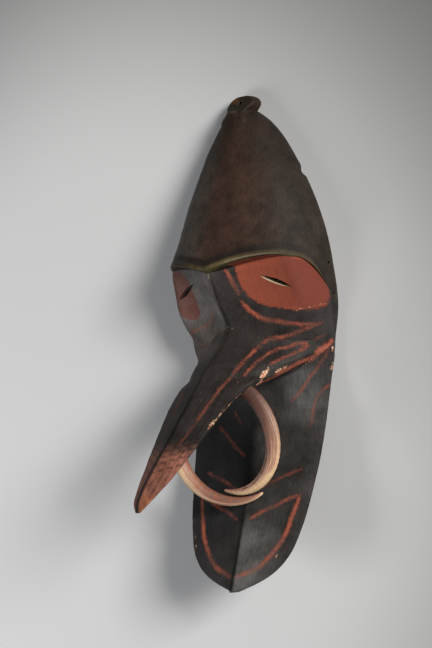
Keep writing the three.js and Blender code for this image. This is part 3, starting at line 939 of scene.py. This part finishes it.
rubbed_and_highlit = add(tree, "ShaderNodeMath", {0: rubbed_and_highlit, 1: brush}, operation="MULTIPLY")
base = add(tree, "ShaderNodeMix", {"Factor": rubbed_and_highlit, MIX_A: base, MIX_B: linear(RUBBED_AND_HIGHLIT)}, **MIX)

# Where the paint lies: its edges wander, it is thin over specks, and the strokes have faded in spots.
red = add(tree, "ShaderNodeAttribute", attribute_name="red", out="Fac")
red_cover = add(tree, "ShaderNodeAttribute", attribute_name="red_cover", out="Fac")
wander = add(tree, "ShaderNodeMapRange", {"Value": brush, "To Min": -2.0, "To Max": 2.0})
within = add(tree, "ShaderNodeMath", {0: red, 1: wander}, operation="ADD")
within = add(tree, "ShaderNodeMapRange", {"Value": within, "From Min": -0.8, "From Max": 1.2})
thin = add(tree, "ShaderNodeMapRange", {
    "Value": speck, "From Min": 0.38, "From Max": 0.66, "To Min": 1.0, "To Max": 0.65})
within = add(tree, "ShaderNodeMath", {0: within, 1: red_cover}, operation="MULTIPLY")
laid = add(tree, "ShaderNodeMath", {0: within, 1: thin}, operation="MULTIPLY", use_clamp=True)
stroke = add(tree, "ShaderNodeAttribute", attribute_name="stroke", out="Fac")
on_stroke = add(tree, "ShaderNodeMapRange", {"Value": stroke, "From Min": -2, "From Max": -1})
faded = add(tree, "ShaderNodeMapRange", {"Value": mottle, "From Min": 0.4, "From Max": 0.62, "To Max": 0.62})
faded = add(tree, "ShaderNodeMath", {0: faded, 1: on_stroke}, operation="MULTIPLY")
kept = add(tree, "ShaderNodeMath", {0: 1, 1: faded}, operation="SUBTRACT")
laid = add(tree, "ShaderNodeMath", {0: laid, 1: kept}, operation="MULTIPLY")

# The paint's colours: mottled ochre, with painted shade at the temples, brown in worn strokes and bright in
# their cores.
ochre = add(tree, "ShaderNodeMix", {
    "Factor": mottle, MIX_A: linear(OCHRE_THICK), MIX_B: linear(OCHRE_THIN)}, **MIX)
ochre_painted_shade = add(tree, "ShaderNodeAttribute", attribute_name="ochre_painted_shade", out="Fac")
ochre = add(tree, "ShaderNodeMix", {"Factor": ochre_painted_shade, MIX_A: ochre, MIX_B: linear(OCHRE_SHADED)}, **MIX)
bare = add(tree, "ShaderNodeMapRange", {"Value": mottle, "From Min": 0.5, "From Max": 0.68, "To Max": 0.5})
bare = add(tree, "ShaderNodeMath", {0: bare, 1: on_stroke}, operation="MULTIPLY")
ochre = add(tree, "ShaderNodeMix", {"Factor": bare, MIX_A: ochre, MIX_B: linear(OCHRE_WORN)}, **MIX)
core = add(tree, "ShaderNodeMath", {0: stroke, 1: wander}, operation="ADD")
core = add(tree, "ShaderNodeMapRange", {"Value": core, "From Min": 0.4, "From Max": 2.8, "To Max": 0.75})
ochre = add(tree, "ShaderNodeMix", {"Factor": core, MIX_A: ochre, MIX_B: linear(OCHRE_FRESH)}, **MIX)
colour = add(tree, "ShaderNodeMix", {"Factor": laid, MIX_A: base, MIX_B: ochre}, **MIX)

# The crust: ragged brown gum with pale specks of lime.
crusty = add(tree, "ShaderNodeAttribute", attribute_name="crust", out="Fac")
ragged = add(tree, "ShaderNodeMapRange", {"Value": brush, "To Min": -2.4, "To Max": 1.6})
crusty = add(tree, "ShaderNodeMath", {0: crusty, 1: ragged}, operation="ADD")
crusty = add(tree, "ShaderNodeMapRange", {"Value": crusty, "From Min": -0.6, "From Max": 0.6, "To Max": 0.9})
limed = add(tree, "ShaderNodeMapRange", {"Value": speck, "From Min": 0.45, "From Max": 0.65})
gum = add(tree, "ShaderNodeMix", {"Factor": limed, MIX_A: linear(GUM[0]), MIX_B: linear(GUM[1])}, **MIX)
colour = add(tree, "ShaderNodeMix", {"Factor": crusty, MIX_A: colour, MIX_B: gum}, **MIX)
relief = add(tree, "ShaderNodeMath", {0: grain, 1: speck}, operation="ADD")
relief = add(tree, "ShaderNodeMath", {0: relief, 1: laid}, operation="ADD")
bump = add(tree, "ShaderNodeBump", {"Height": relief, "Strength": 0.6, "Distance": 0.4 * MM})
matt = add(tree, "ShaderNodeMapRange", {"Value": laid, "To Min": 0.62, "To Max": 0.88})
tree.links.new(colour, shader.inputs["Base Color"])
tree.links.new(matt, shader.inputs["Roughness"])
tree.links.new(bump, shader.inputs["Normal"])
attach(mask_body, "root")
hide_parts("mask_body")

# Tusks: two boar tusks, let into sockets in the beak's edge and gummed fast. Each is rounded three-sided and
# ringed by growth, and the right one is split along its inner side. Enamel gives a worn cream edge and
# dentine a pink-brown, half-polished face, streaked along the tusk and darkest at the root.
TUSK_SIDES = 48
TUSK_STEPS = 160
TUSK_CORNERS = 3
TUSK_CORNER_DEPTH = 0.1
TUSK_LENGTH = 165
RING_SPACING = 6
RING_DEPTH = 0.02
RING_WANDER = (1.5, 37)
TIP_ROUNDS = 0.985
TIP_LEAST = 0.05
SPLIT_AT = -0.5
SPLIT_WIDTH = 0.22
SPLIT_RUNS = (0.42, 0.5, 0.8, 0.9)
SPLIT_DEPTH = 0.14
SPLIT_SHARE = {"tusk_right": 1, "tusk_left": 0}
TUSK_STREAK = (28, 1.3)
TUSK_STREAK_SCALE = (1 / TUSK_STREAK[0], 1 / TUSK_STREAK[1], 1 / TUSK_STREAK[1])
TUSK_ROUGHNESS = 0.55
TUSK_SPECULAR = 0.3
DENTINE = ("#64453a", "#9c7762")
ENAMEL = "#c0a27e"
TUSK_STAIN = "#82472a"
TUSK_ROOT = "#3c261f"
SPLIT_BROWN = "#2e1c16"
# How far the cream edge reaches over the face, by the share of the length; below 0 it draws back.
TUSK_CREAM_REACH = {
    "tusk_right": [(0, -0.8), (0.25, -0.75), (0.45, -0.45), (0.62, 0.4), (0.8, 0.6), (1, 0.6)],
    "tusk_left": [(0, 0), (0.45, 0.7), (0.58, 0.35), (0.7, -0.35), (0.9, -0.4), (0.97, 0.2), (1, 0.6)],
}


def split(across, along):
    """1 in the middle of the split along the tusk's inner side, 0 away from it."""
    runs = rising(along, SPLIT_RUNS[:2]) * fading(along, SPLIT_RUNS[2:])
    return runs * fading(np.abs(across - SPLIT_AT), (0, SPLIT_WIDTH))


def grown(rule, share):
    """A tusk's rule with its three-sided section, growth rings, rounded tip and share of the split."""
    def shaped(across, along, out):
        corner = 0.5 - 0.5 * np.cos(TUSK_CORNERS * np.arctan2(out, across))
        turn = along * TUSK_LENGTH / RING_SPACING * 2 * math.pi
        ring = 0.5 + 0.5 * np.sin(turn + RING_WANDER[0] * np.sin(along * RING_WANDER[1]))
        past = np.clip((along - TIP_ROUNDS) / (1 - TIP_ROUNDS), 0, 1)
        end = np.maximum(np.sqrt(1 - past ** 2), TIP_LEAST)
        size = (1 - TUSK_CORNER_DEPTH * corner) * (1 - RING_DEPTH * ring) * end
        size = size * (1 - share * SPLIT_DEPTH * split(across, along))
        return rule(across * size, along, out * size)
    return shaped


def noting(rule, name, notes):
    """A tusk's rule that also notes where every corner lies on the tusk."""
    def noted(across, along, out):
        notes["along"] = along
        notes["outer"] = across
        notes["cleft"] = SPLIT_SHARE[name] * split(across, along)
        notes["cream_reach"] = through(TUSK_CREAM_REACH[name])(along)
        notes["on_tusk"] = np.stack([along * TUSK_LENGTH, across * TUSK_ROOT_R, out * TUSK_ROOT_R], axis=1)
        return rule(across, along, out)
    return noted


tusk_finish, tree, shader = finish_named("boar_tusk_enamel_and_dentine", TUSK_ROUGHNESS)
shader.inputs["Specular IOR Level"].default_value = TUSK_SPECULAR
where = add(tree, "ShaderNodeAttribute", attribute_name="on_tusk", out="Vector")
along = add(tree, "ShaderNodeAttribute", attribute_name="along", out="Fac")
outer = add(tree, "ShaderNodeAttribute", attribute_name="outer", out="Fac")
cream_reach = add(tree, "ShaderNodeAttribute", attribute_name="cream_reach", out="Fac")
cleft = add(tree, "ShaderNodeAttribute", attribute_name="cleft", out="Fac")
drawn = add(tree, "ShaderNodeMapping", {"Vector": where, "Scale": TUSK_STREAK_SCALE})
streak = add(tree, "ShaderNodeTexNoise", {"Vector": drawn, "Scale": 1, "Detail": 4})
stain = add(tree, "ShaderNodeTexNoise", {"Vector": where, "Scale": 1 / RING_SPACING, "Detail": 4})
uneven = add(tree, "ShaderNodeMapRange", {"Value": streak, "To Min": -2.2, "To Max": 2.2})
paler = add(tree, "ShaderNodeMath", {0: outer, 1: uneven}, operation="ADD")
paler = add(tree, "ShaderNodeMath", {0: paler, 1: cream_reach}, operation="ADD")
face_on = add(tree, "ShaderNodeMapRange", {"Value": paler, "From Min": -0.7, "From Max": 0.5})
edge_on = add(tree, "ShaderNodeMapRange", {"Value": paler, "From Min": 0.45, "From Max": 0.95})
colour = add(tree, "ShaderNodeMix", {
    "Factor": face_on, MIX_A: linear(DENTINE[0]), MIX_B: linear(DENTINE[1])}, **MIX)
colour = add(tree, "ShaderNodeMix", {"Factor": edge_on, MIX_A: colour, MIX_B: linear(ENAMEL)}, **MIX)
inner = add(tree, "ShaderNodeMapRange", {"Value": outer, "From Min": 0.5, "From Max": -0.4})
brown = add(tree, "ShaderNodeMapRange", {"Value": stain, "From Min": 0.45, "From Max": 0.62, "To Max": 0.65})
brown = add(tree, "ShaderNodeMath", {0: brown, 1: inner}, operation="MULTIPLY")
colour = add(tree, "ShaderNodeMix", {"Factor": brown, MIX_A: colour, MIX_B: linear(TUSK_STAIN)}, **MIX)
rooted = add(tree, "ShaderNodeMapRange", {
    "Value": along, "From Min": 0.12, "From Max": 0.5, "To Min": 0.95, "To Max": 0.0})
colour = add(tree, "ShaderNodeMix", {"Factor": rooted, MIX_A: colour, MIX_B: linear(TUSK_ROOT)}, **MIX)
broken = add(tree, "ShaderNodeMapRange", {"Value": stain, "From Min": 0.35, "From Max": 0.55})
cleft = add(tree, "ShaderNodeMath", {0: cleft, 1: broken}, operation="MULTIPLY")
colour = add(tree, "ShaderNodeMix", {"Factor": cleft, MIX_A: colour, MIX_B: linear(SPLIT_BROWN)}, **MIX)
bump = add(tree, "ShaderNodeBump", {"Height": streak, "Strength": 0.6, "Distance": 0.3 * MM})
tree.links.new(colour, shader.inputs["Base Color"])
tree.links.new(bump, shader.inputs["Normal"])

for name, points in TUSKS.items():
    notes = {}
    rule = noting(grown(tusk_rule(points), SPLIT_SHARE[name]), name, notes)
    tusk = tube(f"{name}_boar", tusk_finish, TUSK_SIDES, TUSK_STEPS, rule)
    for layer, values in notes.items():
        keep(tusk, layer, values)
    select_only(tusk)
    bpy.ops.object.shade_smooth()
    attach(tusk, "root")
    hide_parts(name)

# The sheet: a wide matt paper that the mask lies on. Its colour holds a painted pool of light:
# palest to the left of the beak, it falls off in painted shade to a darker grey.
SHEET_SIZE = 6
PAPER_ROUGHNESS = 0.9
PAPER_PAINTED_LIGHT = "#bababa"
PAPER_PAINTED_SHADE = "#5c5c5b"
PAINTED_LIGHT_AT = (-0.23, -0.1, 0)
PAPER_FADES = (0.28, 0.68)
bpy.ops.object.select_all(action="DESELECT")
bpy.ops.mesh.primitive_plane_add(size=SHEET_SIZE)
sheet = bpy.context.object
sheet.name = "paper_sheet"
paper, tree, shader = finish_named("matt_grey_paper", PAPER_ROUGHNESS)
spot = add(tree, "ShaderNodeTexCoord", out="Object")
away = add(tree, "ShaderNodeVectorMath", {0: spot, 1: PAINTED_LIGHT_AT}, "Value", operation="DISTANCE")
shade = add(tree, "ShaderNodeMapRange", {
    "Value": away, "From Min": PAPER_FADES[0], "From Max": PAPER_FADES[1]}, interpolation_type="SMOOTHSTEP")
grey = add(tree, "ShaderNodeMix", {
    "Factor": shade, MIX_A: linear(PAPER_PAINTED_LIGHT), MIX_B: linear(PAPER_PAINTED_SHADE)}, **MIX)
tree.links.new(grey, shader.inputs["Base Color"])
sheet.data.materials.append(paper)

# The camera: it looks down on the face from over its right cheek, so the beak points down to the left.
# It is rolled a little. Its distance is in millimetres, and its focal length in the picture's pixels.
CAMERA_AZIMUTH = math.radians(42)
CAMERA_ELEVATION = math.radians(-2)
CAMERA_ROLL = math.radians(4.3)
CAMERA_FAR = 2000
CAMERA_ASIDE = -50.6
PICTURE_HEIGHT_PX = 648
FOCAL_PX = 2000
SENSOR = 36

level = math.cos(CAMERA_ELEVATION)
out = Vector((level * math.sin(CAMERA_AZIMUTH), math.sin(CAMERA_ELEVATION), level * math.cos(CAMERA_AZIMUTH)))
flat_right = Vector((math.cos(CAMERA_AZIMUTH), 0, -math.sin(CAMERA_AZIMUTH)))
flat_up = out.cross(flat_right)
right = math.cos(CAMERA_ROLL) * flat_right - math.sin(CAMERA_ROLL) * flat_up
up = math.sin(CAMERA_ROLL) * flat_right + math.cos(CAMERA_ROLL) * flat_up
eye = out * CAMERA_FAR + right * CAMERA_ASIDE + Vector((0, ROW_SHIFT, 0))
bpy.ops.object.camera_add()
camera = bpy.context.object
camera.data.sensor_fit = "VERTICAL"
camera.data.sensor_height = SENSOR
camera.data.lens = SENSOR * FOCAL_PX / PICTURE_HEIGHT_PX
axes = Matrix((right, up, out)).transposed().to_4x4()
camera.matrix_world = Matrix.Translation(eye * MM) @ axes
bpy.context.scene.camera = camera

# The light: a soft light stands low and far off on the right, a weak one fills from the lower left, and the
# room is dim. Places and sizes are metres, and powers are watts.
KEY_AT = (4.4, 0.9, 2.15)
KEY_SIZE = 1.25
KEY_POWER = 490
KEY_TINT = (1, 0.99, 0.97)
FILL_AT = (-0.9, -0.45, 0.9)
FILL_SIZE = 0.6
FILL_POWER = 8
FILL_TINT = (0.97, 0.98, 1)
ROOM_TINT = (0.8, 0.82, 0.85, 1)
ROOM_STRENGTH = 0.12


def area_light(name, where, size, power, tint):
    """A square light that faces the mask."""
    bpy.ops.object.light_add(type="AREA", location=where)
    light = bpy.context.object
    light.name = name
    light.data.size = size
    light.data.energy = power
    light.data.color = tint
    light.rotation_euler = (-Vector(where)).to_track_quat("-Z", "Y").to_euler()


area_light("key", KEY_AT, KEY_SIZE, KEY_POWER, KEY_TINT)
area_light("fill", FILL_AT, FILL_SIZE, FILL_POWER, FILL_TINT)
room = bpy.data.worlds.new("room")
room.use_nodes = True
background = room.node_tree.nodes["Background"]
background.inputs["Color"].default_value = ROOM_TINT
background.inputs["Strength"].default_value = ROOM_STRENGTH
bpy.context.scene.world = room
bpy.context.scene.view_settings.view_transform = "Standard"
